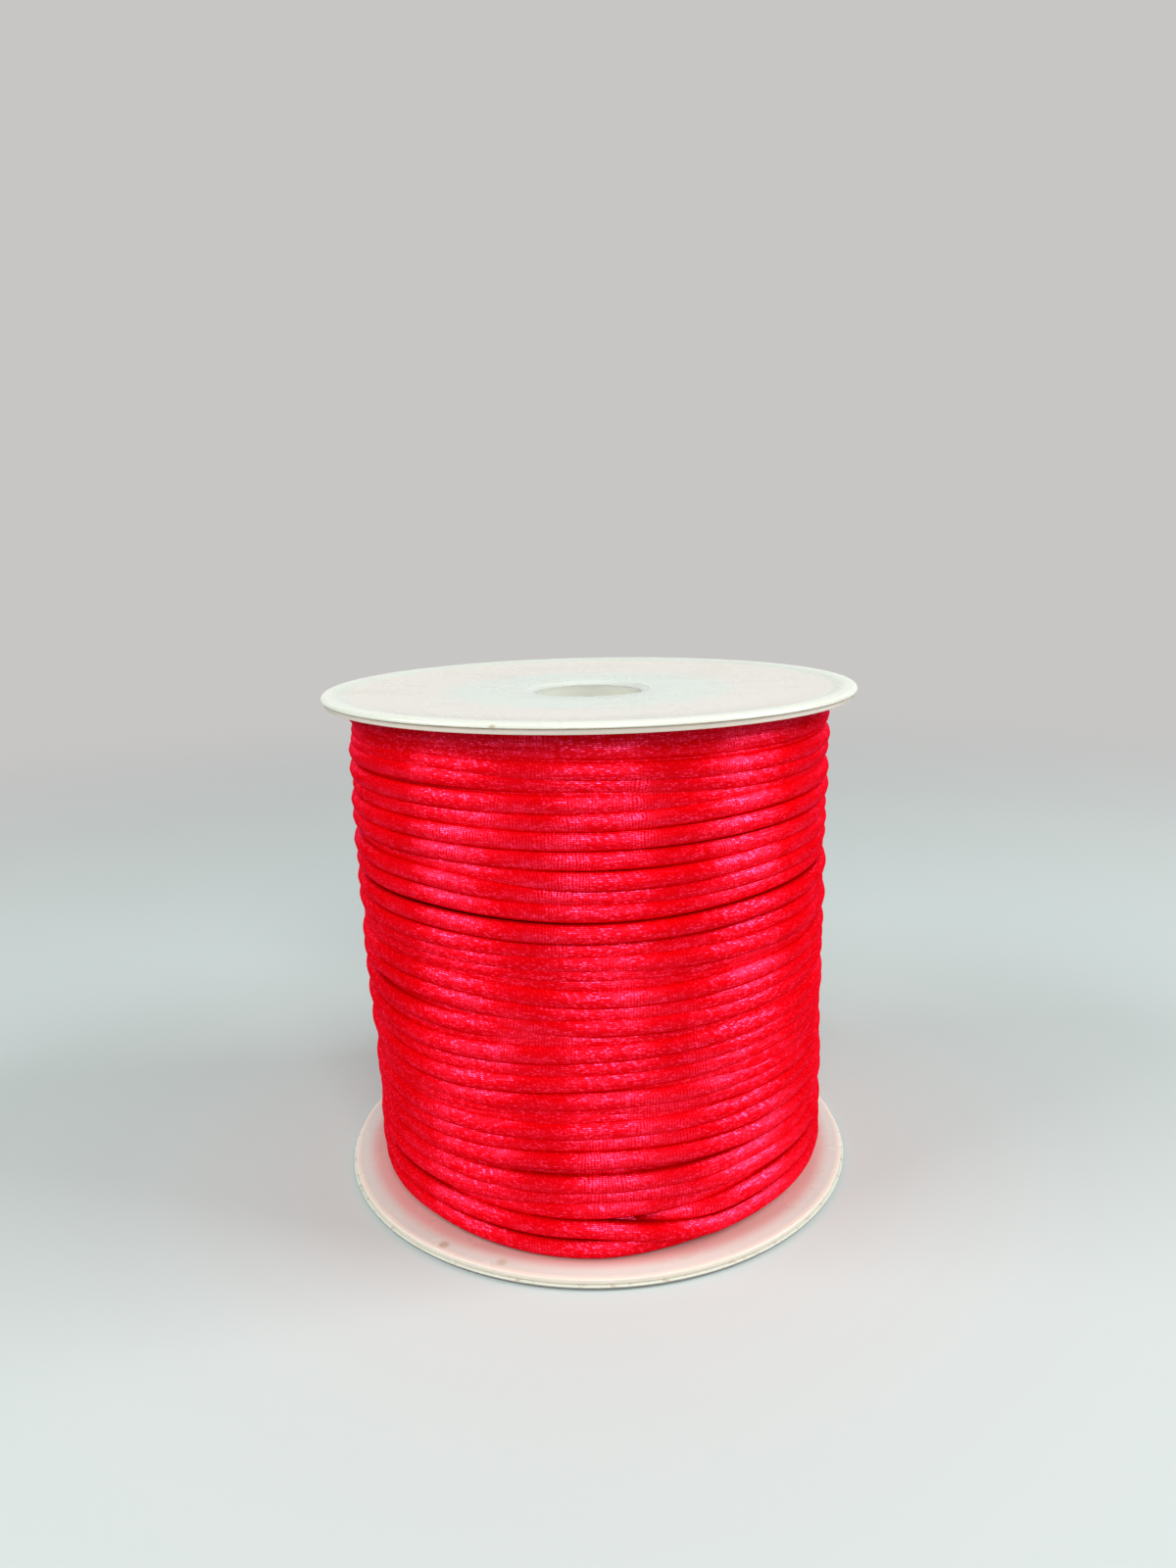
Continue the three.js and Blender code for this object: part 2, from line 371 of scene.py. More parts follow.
# A spot fades out between these shares of its size.
SPOT_EDGE = {"outer": 1.6, "inner": 0.4}
SPOTS = [
    # degrees from the front, distance from the axis, height and size in mm, strength
    (-34.6, 28.7, 1.1, 0.5, 0.6),
    (-20.6, 28.5, 1.1, 0.5, 0.38),
    (-16.8, 30.0, 56.25, 0.3, 0.6),
    (-37.0, 30.0, 56.1, 0.16, 0.75),
    (-64.2, 30.0, 56.05, 0.2, 0.75),
]


def specks_and_spots(finish, place, reach, rise):
    """Dirt in the parting line and the spots, as shares of brown."""
    parting = reach.step(*PARTING_STARTS) * rise.step(*PARTING_LOW) * (1 - rise.step(*PARTING_HIGH))
    dirt = finish.cloud(0.7 * MM, detail=2, seed=6.0).step(0.55, 0.70)
    specks = parting * (SPECKS["all along"] + dirt * SPECKS["dirt"])
    for turn, spot_reach, spot_height, size, strength in SPOTS:
        angle = math.radians(turn)
        sideways, forwards = math.sin(angle), math.cos(angle)
        spot = (spot_reach * MM * sideways, -spot_reach * MM * forwards, spot_height * MM)
        to_spot = {0: place, 1: spot}
        away = finish.node("ShaderNodeVectorMath", {"operation": "DISTANCE"}, to_spot, output="Value")
        fade = (away / MM).step(size * SPOT_EDGE["outer"], size * SPOT_EDGE["inner"])
        specks = specks.math("MAXIMUM", fade * strength)
    return specks


def plastic():
    finish = Finish("milky_plastic")
    place = finish.place()
    in_mm = {0: place, 1: (1 / MM, 1 / MM, 0)}
    flat = finish.node("ShaderNodeVectorMath", {"operation": "MULTIPLY"}, in_mm)
    reach = finish.node("ShaderNodeVectorMath", {"operation": "LENGTH"}, {0: flat}, output="Value")
    height = finish.node("ShaderNodeSeparateXYZ", inputs={"Vector": place}, output="Z") / MM
    rise = (height - SPOOL_HEIGHT / 2).math("ABSOLUTE") - HALF_ROOM
    inner_face = 1 - rise.step(*INNER_FACE_ENDS)
    smear = finish.cloud(7 * MM, detail=4, seed=3.0).step(0.45, 0.75)
    scuff = finish.cloud(4 * MM, detail=2, stretch=(1, 0.4, 1), seed=8.0).step(0.55, 0.80)

    past_hub = reach.step(HUB_EDGE - 1, HUB_EDGE + 3)
    over_cord = past_hub * (1 - reach.step(CORD_EDGE - 1, CORD_EDGE + 1))
    # Painted light: over the cord the white is painted warmer, as the cord's red showing through the
    # plastic.
    colour = finish.blend(over_cord * COVER["over cord"], PLASTIC_WHITE, PLASTIC_CORD_SHOWING_THROUGH)
    rubbed = smear * COVER["smears"] + scuff * COVER["scuffs"]
    colour = finish.blend(rubbed, colour, PLASTIC_RUBBED)
    # Painted shade: the flanges' inner faces, which face each other across the cord, are painted darker.
    colour = finish.blend(inner_face, colour, PLASTIC_INSIDE_SHADE)
    # Painted reflection: next to the cord, the inner faces are painted pink.
    colour = finish.blend(inner_face * reach.step(*CORD_REFLECTION_ENDS), colour, PLASTIC_CORD_REFLECTION)
    # Painted light and shade: the bead gets its own tone of the plastic, set to how the lamps light it.
    colour = finish.blend(reach.step(*RIM_STARTS) * rise.step(*RIM_RISES), colour, PLASTIC_RIM_LIT)
    # Painted reflection: the band under the bead is painted warmer, as the cord's red reflected in it.
    colour = finish.blend(reach.step(*BAND_STARTS) * (1 - rise.step(*BAND_ENDS)), colour, PLASTIC_BAND_REFLECTION)
    # Painted light and shade: the bevel and the bore wall get their own tones of the plastic, set to how
    # the lamps light the mouth and the shaded bore.
    colour = finish.blend(reach.step(*BEVEL_ENDS), colour, PLASTIC_BEVEL_LIT)
    colour = finish.blend(reach.step(*BORE_ENDS), colour, PLASTIC_BORE_SHADE)
    colour = finish.blend(specks_and_spots(finish, place, reach, rise), colour, SPECK_BROWN)
    # Painted shadow: a dark line at the bottom flange's foot, where it stands on the floor.
    contact_shadow = reach.step(*CONTACT_SHADOW_STARTS) * (1 - height.step(*CONTACT_SHADOW_ENDS)) * COVER["contact_shadow"]
    colour = finish.blend(contact_shadow, colour, CONTACT_SHADOW_GREY)

    bump = finish.node("ShaderNodeBump", inputs={
        "Strength": 0.3,
        "Distance": 0.02 * MM,
        "Height": finish.cloud(6 * MM, detail=1, seed=5.0),
    })
    surface = finish.node("ShaderNodeBsdfPrincipled", inputs={
        "Base Color": colour,
        "Roughness": 0.26 + smear * 0.06,
        "Specular IOR Level": 0.4,
        "Subsurface Weight": 0.35,
        "Subsurface Radius": (1.0, 0.8, 0.7),
        "Subsurface Scale": 1.6 * MM,
        "Normal": bump,
    })
    return finish.finish(surface)


PLASTIC = plastic()

# %% [markdown]
# ## Turned pieces
#
# The flanges and the hub are round about the spool's axis, so each is one outline turned about Z. The
# Screw modifier or Blender's spin could turn it. A short function that lays the rings itself keeps the
# points in order, closes the mesh on itself and needs no clean-up, so it is used for all of them.

# %% Turn an outline about the axis
def dress(piece, body, slot, *nodes):
    """Attaches a finished piece to its body and hides the CAD parts that it stands for."""
    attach(piece, body)
    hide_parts(*nodes)


def add_mesh(name, points, faces, material):
    mesh = bpy.data.meshes.new(name)
    mesh.from_pydata(points, [], faces)
    mesh.materials.append(material)
    piece = bpy.data.objects.new(name, mesh)
    bpy.context.scene.collection.objects.link(piece)
    return piece


SHARPEST_SMOOTH = 40


def turned(name, outline, segments, material):
    """Turns a closed outline of (radius, height) in mm, which runs anticlockwise so faces point out."""
    points = []
    for segment in range(segments):
        angle = 2 * math.pi * segment / segments
        for radius, height in outline:
            x, y = radius * math.cos(angle), radius * math.sin(angle)
            points.append((x * MM, y * MM, height * MM))
    corners = len(outline)
    faces = []
    for segment in range(segments):
        here, there = segment * corners, (segment + 1) % segments * corners
        for corner in range(corners):
            after = (corner + 1) % corners
            faces.append((here + corner, there + corner, there + after, here + after))
    piece = add_mesh(name, points, faces, material)
    piece.data.shade_smooth()
    piece.data.set_sharp_from_angle(angle=math.radians(SHARPEST_SMOOTH))
    return piece


def arc(radius, height, size, start, end, steps):
    """Points of a round corner from one angle to another, in degrees."""
    angles = [math.radians(start + (end - start) * step / steps) for step in range(steps + 1)]
    return [(radius + size * math.cos(angle), height + size * math.sin(angle)) for angle in angles]


# %% [markdown]
# ## The flanges
#
# Each flange is a thin disc with a low bead round its rim. The mould's two halves met under the bead,
# which left a fine line and a narrower band below it. Inside the bead the face is recessed by a quarter
# of a millimetre, dishes a little more towards the hub, and bevels into the hole. Small rounds on every
# edge catch the light, and that is most of what tells moulded plastic from card.

# %% Flanges
FLANGE_SEGMENTS = 240
FACE_RECESS = 0.25
DISH_DEPTH = 0.4
BAND_HEIGHT = 0.6
BAND_INSET = 0.28
BEAD_ROUND = 0.45
BEAD_WIDTH = 1.35
BEAD_SLOPE = 1.2
PARTING_LINE = 0.08
FACE_ROUND = 0.15
MOUTH_ROUND = 0.10
# The slope from the bead's crest to the face, as shares of its run and of its drop.
BEAD_CURVE = [(0.15, 0.01), (0.35, 0.16), (0.6, 0.5), (0.85, 0.84), (1, 1)]


def flange_outline():
    """The top flange in section, with its underside at height 0."""
    face = FLANGE_HEIGHT - FACE_RECESS
    dish = face - DISH_DEPTH
    band = FLANGE_RADIUS - BAND_INSET
    crest = FLANGE_RADIUS - BEAD_WIDTH
    slope = [(crest - run * BEAD_SLOPE, FLANGE_HEIGHT - drop * FACE_RECESS) for run, drop in BEAD_CURVE]
    return [
        (BORE_RADIUS, 0),
        (20, 0),
        *arc(band - FACE_ROUND, FACE_ROUND, FACE_ROUND, -90, 0, 3),
        (band, BAND_HEIGHT - 0.10),
        (band - PARTING_LINE, BAND_HEIGHT - 0.04),
        (band - PARTING_LINE, BAND_HEIGHT),
        (FLANGE_RADIUS - PARTING_LINE, BAND_HEIGHT),
        *arc(FLANGE_RADIUS - BEAD_ROUND, FLANGE_HEIGHT - BEAD_ROUND, BEAD_ROUND, 0, 90, 10),
        (crest, FLANGE_HEIGHT),
        *slope,
        (HUB_EDGE + 7, face - 0.5 * DISH_DEPTH),
        (HUB_EDGE, dish),
        (HUB_EDGE - 4, dish),
        *arc(MOUTH_RADIUS + MOUTH_ROUND, dish - MOUTH_ROUND, MOUTH_ROUND, 90, 160, 3),
        (BORE_RADIUS + 0.18, 0.08),
        (BORE_RADIUS, 0.03),
    ]


def flange(name, node, place):
    outline = [(radius, place(height)) for radius, height in flange_outline()]
    if place(1) < place(0):
        outline.reverse()
    piece = turned(name, outline, FLANGE_SEGMENTS, PLASTIC)
    dress(piece, "root", "spool_plastic", node)
    print(f"{name}: {len(piece.data.polygons)} faces")


flange("top_flange", "flange_top", lambda height: ROOM_HIGH + height)
flange("bottom_flange", "flange_bottom", lambda height: ROOM_LOW - height)

# %% [markdown]
# ## The hub
#
# Only the bore shows, through the hole in the top flange. The hub is a barrel and a bore tube with a
# web between them, as in the CAD, but it reaches right up to the flanges, where the real one is joined
# to them.

# %% Hub
BARREL_WALL = 1.6
BORE_TUBE_WALL = 1.5
HUB_WEB = 1.4
TOUCH = 0.01
HUB_SEGMENTS = 96


def hub_outline():
    low, high, middle = ROOM_LOW + TOUCH, ROOM_HIGH - TOUCH, SPOOL_HEIGHT / 2
    tube, barrel = BORE_RADIUS + BORE_TUBE_WALL, BARREL_RADIUS - BARREL_WALL
    return [
        (BORE_RADIUS, low),
        (tube, low),
        (tube, middle - HUB_WEB / 2),
        (barrel, middle - HUB_WEB / 2),
        (barrel, low),
        (BARREL_RADIUS, low),
        (BARREL_RADIUS, high),
        (barrel, high),
        (barrel, middle + HUB_WEB / 2),
        (tube, middle + HUB_WEB / 2),
        (tube, high),
        (BORE_RADIUS, high),
    ]


hub = turned("hub_core", hub_outline(), HUB_SEGMENTS, PLASTIC)
dress(hub, "root", "spool_plastic", "hub")
print(f"hub_core: {len(hub.data.polygons)} faces")

# %% [markdown]
# ## Where each turn of the cord lies
#
# The cord is one long spiral, but it was wound by hand and tension, so its turns are uneven: some lie
# full width on top, and others are squeezed down between their neighbours, and each one rises and sags
# on its way round. The table gives the grooves between the turns at three places across the front. A
# smooth curve through all of them is one rising line, and the cord runs halfway between that line and
# the same line one turn later.

# %% Winding tables
# Groove heights in mm, a row for each turn from the bottom: 45 degrees left of the front, the front,
# and 45 degrees right of it.
GROOVES = [
    # left, front, right
    (1.5, 1.1, 1.4),
    (3.8, 3.2, 4.4),
    (5.8, 5.7, 6.5),
    (6.5, 7.3, 7.2),
    (8.2, 8.6, 9.1),
    (9.6, 10.4, 10.3),
    (10.4, 11.1, 10.9),
    (12.0, 13.2, 12.9),
    (13.8, 14.7, 14.9),
    (15.4, 16.2, 16.4),
    (16.2, 17.1, 16.9),
    (17.0, 17.9, 18.0),
    (17.8, 19.3, 19.2),
    (18.4, 19.9, 20.4),
    (20.2, 21.3, 21.8),
    (21.7, 22.8, 23.4),
    (23.6, 24.4, 24.8),
    (24.7, 25.2, 25.3),
    (26.2, 25.7, 25.8),
    (27.0, 27.0, 27.1),
    (29.1, 28.4, 28.8),
    (30.7, 30.1, 30.6),
    (31.3, 31.2, 31.2),
    (32.1, 32.2, 31.9),
    (33.2, 33.4, 33.6),
    (34.9, 34.6, 35.1),
    (37.4, 37.1, 37.8),
    (39.4, 38.7, 39.2),
    (41.4, 40.1, 40.8),
    (42.4, 42.1, 42.5),
    (44.1, 44.0, 44.2),
    (46.1, 45.9, 46.6),
    (47.7, 47.7, 48.2),
    (49.3, 49.2, 48.8),
    (50.0, 49.9, 49.2),
    (51.4, 50.9, 50.4),
    (52.5, 52.3, 52.0),
    (53.3, 53.0, 52.8),
    (54.2, 54.1, 54.1),
    (55.6, 55.5, 55.5),
]

# The winding's outer radius in mm at four sides, a row for each height.
FORM = [
    # height, left, front, right, back
    (0, 26.0, 27.1, 26.9, 26.8),
    (14, 26.3, 27.1, 26.9, 26.7),
    (28, 27.0, 27.1, 26.9, 26.9),
    (42, 27.4, 27.1, 27.1, 27.1),
    (57, 27.2, 27.1, 27.1, 27.0),
]

SIDE_TURN = 0.125
STATIONS = [
    (turn + side * SIDE_TURN, height)
    for turn, row in enumerate(GROOVES)
    for side, height in zip((-1, 0, 1), row)
]
print(f"{len(GROOVES) - 1} turns, from {GROOVES[0][1]} to {GROOVES[-1][1]} mm at the front")

# %% [markdown]
# ## A smooth curve through a table
#
# Straight lines between the stations would give the cord a kink at each one. A Hermite curve gives
# each station the slope from the one before it to the one after it, so the cord bends gently.

# %% Read the tables
def slope_at(index):
    before = STATIONS[max(index - 1, 0)]
    after = STATIONS[min(index + 1, len(STATIONS) - 1)]
    return (after[1] - before[1]) / (after[0] - before[0])


def groove_height(turn):
    """The groove's height in mm after a number of turns, counted from the front."""
    first, last = STATIONS[0], STATIONS[-1]
    if turn <= first[0]:
        return first[1] + (turn - first[0]) * 2 * CORD_RADIUS
    if turn >= last[0]:
        return last[1] + (turn - last[0]) * 2 * CORD_RADIUS
    index = max(place for place, station in enumerate(STATIONS) if station[0] < turn)
    (start, low), (end, high) = STATIONS[index], STATIONS[index + 1]
    span = end - start
    t = (turn - start) / span
    rise, fall, bend = slope_at(index) * span, slope_at(index + 1) * span, low - high
    return low + rise * t + (-3 * bend - 2 * rise - fall) * t**2 + (2 * bend + rise + fall) * t**3


def form_radius(height, turn):
    """The winding's outer radius in mm at a height and after a number of turns."""
    row = max(place for place in range(len(FORM) - 1) if FORM[place][0] <= max(height, 0))
    low, high = FORM[row], FORM[row + 1]
    share = min(max((height - low[0]) / (high[0] - low[0]), 0), 1)
    left, front, right, back = (a + (b - a) * share for a, b in zip(low[1:], high[1:]))
    sideways, forwards = math.sin(2 * math.pi * turn), math.cos(2 * math.pi * turn)
    across = right if sideways > 0 else left
    along = front if forwards > 0 else back
    return across * sideways**2 + along * forwards**2


for turns_up in (0, 0.5, 1):
    print(f"groove after {turns_up} turns: {groove_height(turns_up):.1f} mm")

# %% [markdown]
# ## The cord's routes
#
# Three routes make the winding that shows. The outer turns follow the tables: where two grooves come
# close, the turn between them has lost its room, and it sinks when it has lost more than the turns
# beside it. At the bottom one strand starts a track higher and crosses down at the front within a few
# degrees, bulging as it climbs over. It runs on round the back, settles on the lowest track and ends
# under itself, while the outer turns start beneath it. Under them all lies a plain layer, which shows
# only in the gaps. Every end dives between the turns, as a tucked-in end does.

# %% Cord routes
SINK_PER_LOST_WIDTH = 0.75
SHARED_LOSS = 0.8
MOST_PROUD = -0.2
TUCK_DEPTH = 2.6
TUCK_TURN = 0.08
STEPS_A_TURN = 120
OUTER_STARTS = 0.015
OUTER_ENDS_SHORT = 2.3
CROSSING_STARTS = -0.45
CROSSING_ENDS = 1.36
UNDER_DEPTH = 1.75
UNDER_PITCH = 1.95
END_ROOM = 0.02
WOBBLE = 0.07
CROSSING_DOWN = (-0.01, 0.085)
CROSSING_BULGE = 0.3
CROSSING_LIFT = 0.3
SETTLING = (0.3, 0.6)
COVERED = (0.99, 1.06)
COVERED_DIP = 0.5


def between(value, low, high):
    return min(max(value, low), high)


def eased(value, low, high):
    """0 below low, 1 above high, and a smooth S between."""
    share = between((value - low) / (high - low), 0, 1)
    return share * share * (3 - 2 * share)


def wobble(turn, seed):
    """A slow unevenness in mm, the same on each run."""
    return WOBBLE * noise.noise(Vector((turn * 5.3, seed, 0.5)))


def on_winding(turn, height, depth):
    """A point in metres at a depth in mm inside the winding's outer form."""
    radius = (form_radius(height, turn) - depth) * MM
    angle = 2 * math.pi * turn
    return (radius * math.sin(angle), -radius * math.cos(angle), height * MM)


LOWEST = ROOM_LOW + CORD_RADIUS + END_ROOM
HIGHEST = ROOM_HIGH - CORD_RADIUS - END_ROOM


def lost_width(turn):
    """How much narrower than the cord the room between two grooves is, in mm."""
    return max(2 * CORD_RADIUS - (groove_height(turn + 1) - groove_height(turn)), 0)


def track(turn):
    """The height and depth in mm of the cord between a groove and the next one up."""
    neighbours = (lost_width(turn - 1) + lost_width(turn + 1)) / 2
    sink = SINK_PER_LOST_WIDTH * max(lost_width(turn) - SHARED_LOSS * neighbours, MOST_PROUD)
    middle = (groove_height(turn) + groove_height(turn + 1)) / 2
    return between(middle + wobble(turn, 1), LOWEST, HIGHEST), CORD_RADIUS + sink + wobble(turn, 7)


def route(first, last, place):
    """Points from one turn to another. The ends dive inwards."""
    points = []
    for step in range(round((last - first) * STEPS_A_TURN) + 1):
        turn = first + step / STEPS_A_TURN
        height, depth = place(turn)
        ends = min(turn - first, last - turn) / TUCK_TURN
        points.append(on_winding(turn, height, depth + TUCK_DEPTH * (1 - between(ends, 0, 1)) ** 2))
    return points


def crossing_strand(turn):
    """Crosses down at the front, settles on the lowest track behind and ends under itself."""
    high, high_depth = track(turn + 1)
    low, low_depth = track(turn)
    lowest, lowest_depth = track(turn - 1)
    down, settled = eased(turn, *CROSSING_DOWN), eased(turn, *SETTLING)
    height = high + (low + CROSSING_LIFT - high) * down + (lowest - low - CROSSING_LIFT) * settled
    depth = high_depth + (low_depth - high_depth) * down + (lowest_depth - low_depth) * settled
    bulge = CROSSING_BULGE * (1 - abs(2 * down - 1)) ** 0.5
    return height, depth - bulge + COVERED_DIP * eased(turn, *COVERED)


def outer_turns(turn):
    return track(turn + 1)


def under_layer(turn):
    return LOWEST + turn * UNDER_PITCH, CORD_RADIUS + UNDER_DEPTH + wobble(turn, 4)


def route_length(points):
    return sum((Vector(b) - Vector(a)).length for a, b in zip(points, points[1:]))


outer_points = route(OUTER_STARTS, len(GROOVES) - OUTER_ENDS_SHORT, outer_turns)
crossing_points = route(CROSSING_STARTS, CROSSING_ENDS, crossing_strand)
under_points = route(0, (HIGHEST - LOWEST) / UNDER_PITCH, under_layer)
print(f"outer route: {route_length(outer_points):.2f} m of cord")
print(f"crossing route: {route_length(crossing_points):.2f} m of cord")
print(f"under route: {route_length(under_points):.2f} m of cord")

# %% [markdown]
# ## Cord along a route
#
# Geometry Nodes suit what follows a path. The tree takes a line of points, makes it a curve, and sweeps
# a slightly flattened ring along it, because a cord pulled tight presses flat. It also writes down how
# far along and how far around the cord each point is, which the satin reads to lay its stitches. The
# ring starts at the side that faces the hub, so the place where "around" starts again is hidden.

# %% Cord tree
def cord_tree():
    tree = bpy.data.node_groups.new("cord_along_route", "GeometryNodeTree")
    kinds = {"Route": "Geometry", "Cord Radius": "Float", "Flatness": "Float", "Sides": "Int"}
    for name, kind in kinds.items():
        tree.interface.new_socket(name, in_out="INPUT", socket_type=f"NodeSocket{kind}")
    tree.interface.new_socket("Cord", in_out="OUTPUT", socket_type="NodeSocketGeometry")
    graph = Graph(tree)
    group = graph.add("NodeGroupInput")
    points, radius, flatness, sides = (Wire(graph, output) for output in group.outputs[:4])

    line = graph.node("GeometryNodeMeshToCurve", inputs={"Mesh": points})
    upright = graph.node("GeometryNodeSetCurveNormal", {"mode": "Z_UP"}, {"Curve": line})
    travelled = graph.node("GeometryNodeSplineParameter", output="Length")
    marked = graph.node("GeometryNodeStoreNamedAttribute", {"data_type": "FLOAT"}, {
        "Geometry": upright, "Name": "along", "Value": travelled,
    })

    ring = graph.node("GeometryNodeCurvePrimitiveCircle", {"mode": "RADIUS"}, {
        "Resolution": sides, "Radius": radius,
    })
    squashed = graph.node("ShaderNodeCombineXYZ", inputs={"X": flatness * -1, "Y": 1.0, "Z": 1.0})
    turned_in = graph.node("GeometryNodeTransform", inputs={"Geometry": ring, "Scale": squashed})
    share = graph.node("GeometryNodeSplineParameter", output="Factor")
    counted = graph.node("GeometryNodeStoreNamedAttribute", {"data_type": "FLOAT"}, {
        "Geometry": turned_in, "Name": "around", "Value": share,
    })

    swept = graph.node("GeometryNodeCurveToMesh", inputs={
        "Curve": marked, "Profile Curve": counted, "Fill Caps": True,
    })
    smooth = graph.node("GeometryNodeSetShadeSmooth", inputs={"Geometry": swept})
    real = graph.node("GeometryNodeRealizeInstances", inputs={"Geometry": smooth})
    satin = graph.node("GeometryNodeSetMaterial", inputs={"Geometry": real, "Material": SATIN})
    graph.add("NodeGroupOutput", inputs={"Cord": satin})
    return tree


CORD_TREE = cord_tree()
print(f"cord tree: {len(CORD_TREE.nodes)} nodes")

# %% [markdown]
# ## From tree to mesh
#
# A modifier's inputs are set by their identifiers, before anything looks at the object. The evaluated
# object is then made a plain mesh, and the modifier goes, because the frame wants finished meshes.

# %% Wind the cord
# A little more than the cord's radius, so that neighbours press together.
PRESSED_RADIUS = 1.02 * CORD_RADIUS
FLATNESS = 0.94
OUTER_SIDES = 12
UNDER_SIDES = 8


def set_inputs(modifier, values):
    for item in modifier.node_group.interface.items_tree:
        if item.name in values and item.in_out == "INPUT":
            modifier[item.identifier] = values[item.name]


def wind(name, points, sides):
    mesh = bpy.data.meshes.new(name + "_route")
    mesh.from_pydata(points, [(step, step + 1) for step in range(len(points) - 1)], [])
    line = bpy.data.objects.new(name + "_route", mesh)
    bpy.context.scene.collection.objects.link(line)
    modifier = line.modifiers.new("cord", "NODES")
    modifier.node_group = CORD_TREE
    set_inputs(modifier, {"Cord Radius": PRESSED_RADIUS * MM, "Flatness": FLATNESS, "Sides": sides})
    evaluated = line.evaluated_get(bpy.context.evaluated_depsgraph_get())
    finished = bpy.data.meshes.new_from_object(evaluated)
    finished.name = name
    line.modifiers.clear()
    bpy.data.objects.remove(line)
    piece = bpy.data.objects.new(name, finished)
    bpy.context.scene.collection.objects.link(piece)
    dress(piece, "root", "satin_cord", "cord_winding")
    kept = [name for name in ("along", "around") if name in finished.attributes]
    print(f"{piece.name}: {len(finished.polygons)} faces, with the attributes {kept}")


wind("cord_outer_turns", outer_points, OUTER_SIDES)
wind("cord_crossing_strand", crossing_points, OUTER_SIDES)
# Every second point will do for turns that show only in the gaps.
wind("cord_under_turns", under_points[::2], UNDER_SIDES)

# %% [markdown]
# ## The layers underneath
#
# Below the two layers that can be seen lie many more. They need no turns of their own: a drum of the
# same cord fills the room from the hub outwards, so that no gap looks through to the hub.

# %% Inner layers
DRUM_GAP = 3.6
DRUM_STEPS = 40
DRUM_RIDGE = 0.3


def drum():
    inner, low, high = BARREL_RADIUS + TOUCH, ROOM_LOW + TOUCH, ROOM_HIGH - TOUCH
    skin = []
    for step in range(DRUM_STEPS + 1):
        height = low + (high - low) * step / DRUM_STEPS
        radius = min(form_radius(height, side / 4) for side in range(4)) - DRUM_GAP
        skin.append((radius + DRUM_RIDGE * (step % 2), height))
    return turned("cord_inner_layers", [(inner, low), *skin, (inner, high)], HUB_SEGMENTS, SATIN)


inner_layers = drum()
dress(inner_layers, "root", "satin_cord", "cord_winding")
print(f"cord_inner_layers: {len(inner_layers.data.polygons)} faces")

# %% [markdown]
# ## The studio
#
# The spool stands on a wide pale floor in front of plain grey air. A floor that simply ended would draw
# a line across the view, so further out its shader is mixed into the grey of the air behind it. The
# camera sees that grey, but the spool gets a much dimmer one, or the glossy satin would mirror pale
# air all round and lose its bands. The floor and the air look the same from every side.

# %% Floor
FLOOR_RADIUS = 1.2
FLOOR_HEIGHT = -0.02 * MM
FLOOR_FADES = (0.06, 0.40)
FLOOR_CORNERS = 96
AIR_GREY = (0.575, 0.565, 0.558, 1)
DIM_GREY = (0.11, 0.115, 0.12, 1)
FLOOR_PALE = (0.52, 0.585, 0.57, 1)
FLOOR_CLOUD = (0.49, 0.555, 0.54, 1)


def seen_air(graph):
    """The camera sees the air as grey, but it lights the spool much less."""
    seen = graph.node("ShaderNodeLightPath", output="Is Camera Ray")
    return graph.blend(seen, DIM_GREY, AIR_GREY)


def floor_material():
    finish = Finish("pale_floor")
    place = {0: finish.place()}
    reach = finish.node("ShaderNodeVectorMath", {"operation": "LENGTH"}, place, output="Value")
    colour = finish.blend(finish.cloud(0.2, detail=1), FLOOR_PALE, FLOOR_CLOUD)
    looks = {"Base Color": colour, "Roughness": 0.8}
    surface = finish.node("ShaderNodeBsdfPrincipled", inputs=looks)
    air = finish.node("ShaderNodeEmission", inputs={"Color": seen_air(finish)})
    far = reach.step(*FLOOR_FADES)
    faded = finish.node("ShaderNodeMixShader", inputs={0: far, 1: surface, 2: air})
    return finish.finish(faded)


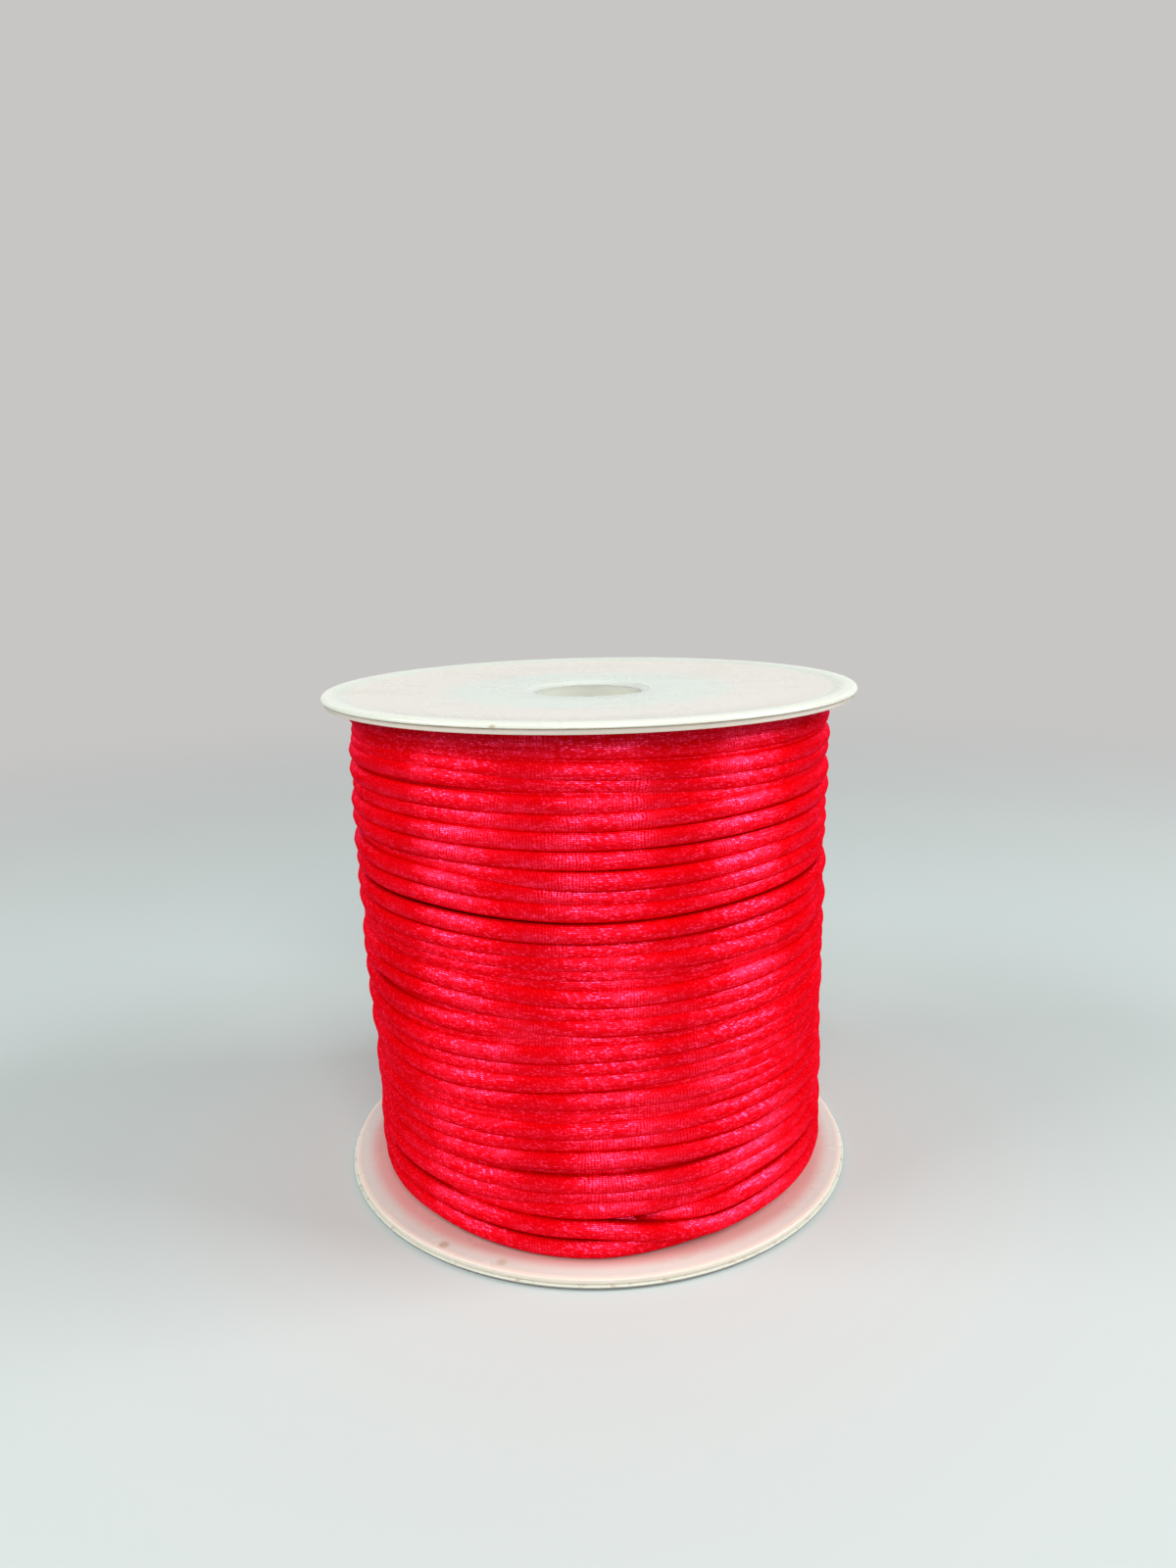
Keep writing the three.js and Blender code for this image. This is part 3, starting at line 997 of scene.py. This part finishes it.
def build_floor():
    points = []
    for corner in range(FLOOR_CORNERS):
        angle = 2 * math.pi * corner / FLOOR_CORNERS
        points.append((FLOOR_RADIUS * math.cos(angle), FLOOR_RADIUS * math.sin(angle), FLOOR_HEIGHT))
    floor = add_mesh("floor", points, [list(range(FLOOR_CORNERS))], floor_material())
    print(f"floor {2 * FLOOR_RADIUS:.1f} m across")


build_floor()

# %% [markdown]
# ## Light
#
# Dim air lights everything softly. Large soft lights stand to the left, in front and to the right: on
# satin each one shows as an upright band of pinker light, as wide as the light looks. A flat face seen
# nearly edge-on mirrors what is behind it, so a wide weak light gives it something pale to mirror.

# %% Lights
AIM = Vector((0, 0, 28 * MM))
LIGHTS = [
    # name, azimuth and elevation in degrees, distance, width and height in metres, watts
    ("window_left", -72, 36, 0.50, 0.30, 0.22, 1.6),
    ("window_front", 6, 36, 0.50, 0.28, 0.20, 1.65),
    ("window_right", 84, 35, 0.50, 0.26, 0.28, 2.1),
    ("back_glow", 180, 12, 0.60, 1.20, 0.50, 1.4),
]


def light_the_air():
    world = bpy.data.worlds.new("air")
    world.use_nodes = True
    graph = Graph(world.node_tree)
    graph.tree.nodes.clear()
    background = graph.node("ShaderNodeBackground", inputs={"Color": seen_air(graph)})
    graph.add("ShaderNodeOutputWorld", inputs={"Surface": background})
    bpy.context.scene.world = world


def soft_light(name, azimuth, elevation, distance, width, height, watts):
    """A rectangular light. Azimuth 0 is in front, and positive goes towards +X."""
    light = bpy.data.lights.new(name, "AREA")
    light.shape = "RECTANGLE"
    light.size, light.size_y = width, height
    light.energy = watts
    lamp = bpy.data.objects.new(name, light)
    bpy.context.scene.collection.objects.link(lamp)
    turn, rise = math.radians(azimuth), math.radians(elevation)
    level = math.cos(rise)
    away = Vector((math.sin(turn) * level, -math.cos(turn) * level, math.sin(rise)))
    lamp.location = AIM + away * distance
    lamp.rotation_euler = away.to_track_quat("Z", "Y").to_euler()
    lamp.visible_camera = False


light_the_air()
for row in LIGHTS:
    soft_light(*row)
bpy.context.scene.view_settings.view_transform = "Standard"
